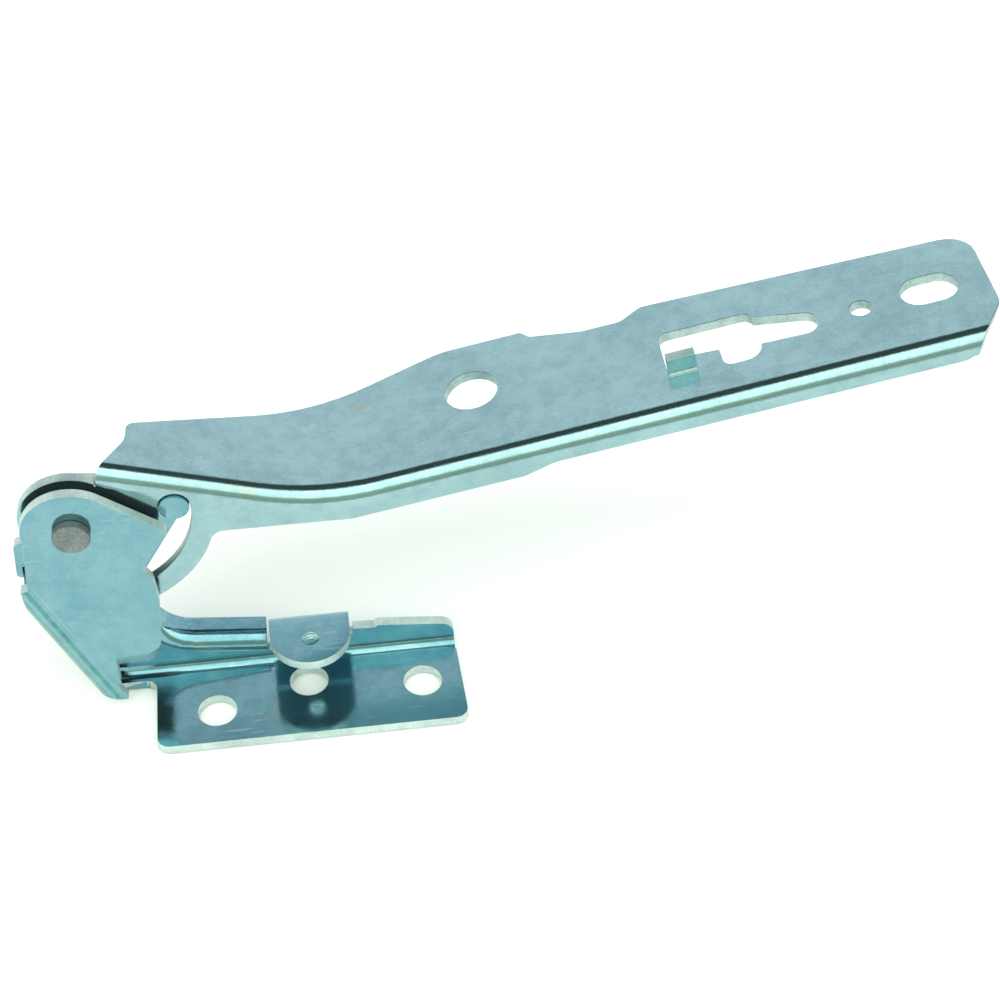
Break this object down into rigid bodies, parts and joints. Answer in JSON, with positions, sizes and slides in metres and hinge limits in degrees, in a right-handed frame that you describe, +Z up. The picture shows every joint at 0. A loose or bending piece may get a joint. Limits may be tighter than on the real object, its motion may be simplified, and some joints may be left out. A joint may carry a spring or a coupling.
{
  "type": "car bonnet hinge",
  "caption": "Folded steel car bonnet hinge: a bolt-down bracket with a clevis, and a cranked arm that swings up on a pivot rivet to a slotted stop.",
  "frame": {"origin": "centre of the left base bolt hole on the mounting face", "axes": "+X along the base towards the arm's free end, +Y from the base's front edge to the wall, +Z up from the mounting face"},
  "size_m": [0.2648, 0.0703, 0.108],
  "materials": {
    "bracket_steel": "satin",
    "arm_steel": "satin",
    "rivet_steel": "satin",
    "bush_metal": "satin"
  },
  "bodies": {
    "fixed_bracket": {"bracket": "bracket_steel", "pivot_rivet": "rivet_steel", "stop_pin": "bracket_steel"},
    "swing_arm": {"arm": "arm_steel", "pivot_bush": "bush_metal", "thrust_washer": "bush_metal"}
  },
  "joints": [
    {"name": "arm_pivot", "type": "hinge", "parent": "fixed_bracket", "child": "swing_arm", "pos_m": [-0.0303, 0.0135, 0.0713], "axis": [0, -1, 0], "range_deg": [0, 62]}
  ]
}
